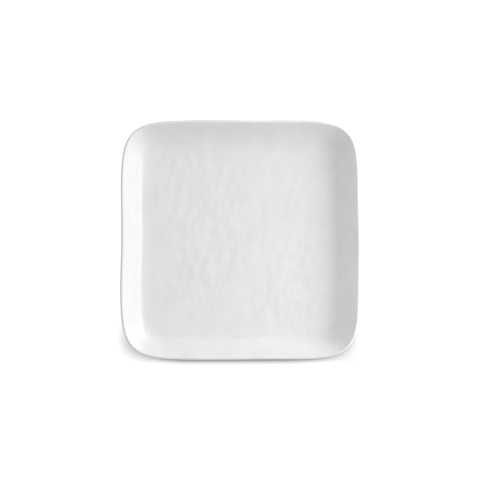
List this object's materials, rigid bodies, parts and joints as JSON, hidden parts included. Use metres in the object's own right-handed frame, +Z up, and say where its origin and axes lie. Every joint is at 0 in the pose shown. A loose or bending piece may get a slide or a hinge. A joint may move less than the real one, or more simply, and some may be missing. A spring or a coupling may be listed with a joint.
{
  "type": "square dessert plate",
  "caption": "Square dessert plate with rounded corners, a flat well, straight sloping walls and a rounded rim on a low foot ring, in white glazed ceramic.",
  "frame": {"origin": "centre of the foot ring's bearing face, on the table", "axes": "+Z up out of the well, +X to the right and +Y to the back as the picture shows the plate"},
  "size_m": [0.19, 0.19, 0.025],
  "materials": {
    "bisque_clay": "fired clay, matte and slightly gritty where it is bare under the foot",
    "white_glaze": "satin white glaze with faint hand-pressed dimples"
  },
  "bodies": {
    "root": {"clay_body": "bisque_clay", "glaze_coat": "white_glaze", "recess_glaze": "white_glaze"}
  },
  "joints": []
}
